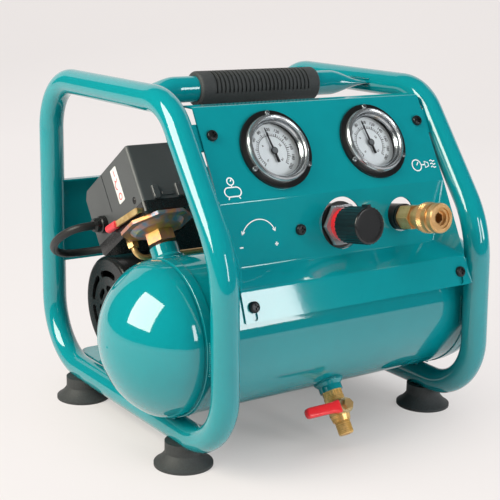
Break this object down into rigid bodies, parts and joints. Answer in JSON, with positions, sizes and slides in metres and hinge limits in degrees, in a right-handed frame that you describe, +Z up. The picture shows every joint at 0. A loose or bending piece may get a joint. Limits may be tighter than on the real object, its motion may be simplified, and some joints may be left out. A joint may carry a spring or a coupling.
{
  "type": "air compressor",
  "caption": "Portable oil-free air compressor: a small tank between two tube hoops, with a gauge panel, regulator, quick coupler, pressure switch and motor-driven piston pump.",
  "frame": {"origin": "on the floor, under the middle of the machine's box", "axes": "+X to the operator's right as the gauge panel is faced, +Y to the back, +Z up"},
  "size_m": [0.38, 0.3324, 0.3057],
  "materials": {
    "teal_paint": "glossy teal enamel with a slight orange peel",
    "black_paint": "satin black enamel",
    "black_plastic": "fine-grained moulded black plastic",
    "black_rubber": "matt moulded rubber",
    "brass": "machined brass",
    "chrome": "bright chrome plate",
    "zinc": "yellow zinc plate",
    "steel": "plain bright steel",
    "cast_aluminium": "as-cast aluminium",
    "red_plastic": "red dip-moulded plastic",
    "dial_white": "white dial with plain numbers",
    "needle_black": "matt black",
    "clear_lens": "clear lens",
    "copper": "copper tube"
  },
  "bodies": {
    "root": {"left_hoop": "teal_paint", "right_hoop": "teal_paint", "handle_bar": "teal_paint", "handle_grip": "black_rubber", "front_panel": "teal_paint", "panel_tabs": "teal_paint", "panel_screws": "black_paint", "back_panel": "teal_paint", "base_plate": "teal_paint", "foot_front_left": "black_rubber", "foot_front_right": "black_rubber", "foot_rear_left": "black_rubber", "foot_rear_right": "black_rubber", "tank_shell": "teal_paint", "tank_left_dome": "teal_paint", "tank_right_dome": "teal_paint", "tank_bungs": "teal_paint", "tank_mounts": "teal_paint", "drain_valve_body": "brass", "regulator_bracket": "zinc", "regulator_body": "cast_aluminium", "regulator_nut": "chrome", "regulator_lock_band": "red_plastic", "coupler_adaptor": "black_paint", "coupler_body": "brass", "air_tubes": "copper", "check_valve": "brass", "safety_valve_body": "brass", "switch_base": "black_plastic", "switch_cover": "black_plastic", "switch_diaphragm": "zinc", "cable_glands": "black_plastic", "motor_lead": "black_rubber", "motor_shell": "black_paint", "motor_end_cap": "black_plastic", "stator": "steel", "capacitor_cover": "black_plastic", "crankcase": "cast_aluminium", "cylinder": "cast_aluminium", "cylinder_head": "cast_aluminium", "hex_bolts": "steel", "intake_filter": "black_plastic", "discharge_tube": "copper", "gauge_cases": "black_paint", "gauge_bezels": "chrome", "gauge_dials": "dial_white", "gauge_lenses": "clear_lens"},
    "tank_gauge_needle": {"tank_gauge_needle": "needle_black"},
    "outlet_gauge_needle": {"outlet_gauge_needle": "needle_black"},
    "regulator_spindle": {"regulator_spindle": "steel"},
    "regulator_knob": {"regulator_knob": "black_plastic"},
    "coupler_sleeve": {"coupler_sleeve": "brass"},
    "drain_lever": {"drain_ball": "brass", "drain_lever": "red_plastic"},
    "safety_stem": {"safety_valve_stem": "chrome"},
    "switch_lever": {"switch_lever": "steel"},
    "rotor": {"rotor_shaft": "steel", "cooling_fan": "black_plastic", "crank_disc": "steel"},
    "piston": {"piston_rod": "cast_aluminium"}
  },
  "joints": [
    {"name": "tank_needle_turn", "type": "hinge", "parent": "root", "child": "tank_gauge_needle", "pos_m": [-0.05, -0.09072, 0.25184], "axis": [0, -0.8686, 0.4955], "range_deg": [-145, 125], "stiffness_Nm_per_rad": 0.0005},
    {"name": "outlet_needle_turn", "type": "hinge", "parent": "root", "child": "outlet_gauge_needle", "pos_m": [0.05, -0.09072, 0.25184], "axis": [0, -0.8686, 0.4955], "range_deg": [-145, 125], "stiffness_Nm_per_rad": 0.0005},
    {"name": "regulator_turn", "type": "hinge", "parent": "root", "child": "regulator_spindle", "pos_m": [0, -0.11472, 0.1905], "axis": [0, -0.9879, 0.1554], "range_deg": [-1080, 1080]},
    {"name": "regulator_push", "type": "slide", "parent": "regulator_spindle", "child": "regulator_knob", "axis": [0, -0.9879, 0.1554], "range_m": [-0.003, 0]},
    {"name": "coupler_pull", "type": "slide", "parent": "root", "child": "coupler_sleeve", "axis": [0, -0.9879, 0.1554], "range_m": [-0.004, 0], "stiffness_N_per_m": 800, "springref_m": 0.002},
    {"name": "drain_turn", "type": "hinge", "parent": "root", "child": "drain_lever", "pos_m": [0, -0.12072, 0.032], "axis": [0, -0.809, 0.5878], "range_deg": [0, 90]},
    {"name": "safety_pull", "type": "slide", "parent": "root", "child": "safety_stem", "axis": [0, 0.3746, 0.9272], "range_m": [0, 0.003], "stiffness_N_per_m": 600, "springref_m": -0.002},
    {"name": "switch_lever_turn", "type": "hinge", "parent": "root", "child": "switch_lever", "pos_m": [-0.136, -0.02631, 0.19953], "axis": [1, 0, 0], "range_deg": [0, 18]},
    {"name": "motor_spin", "type": "hinge", "parent": "root", "child": "rotor", "pos_m": [0, 0.084, 0.08595], "axis": [1, 0, 0], "continuous": true},
    {"name": "piston_slide", "type": "slide", "parent": "root", "child": "piston", "axis": [0, 0, 1], "range_m": [-0.014, 0]}
  ]
}
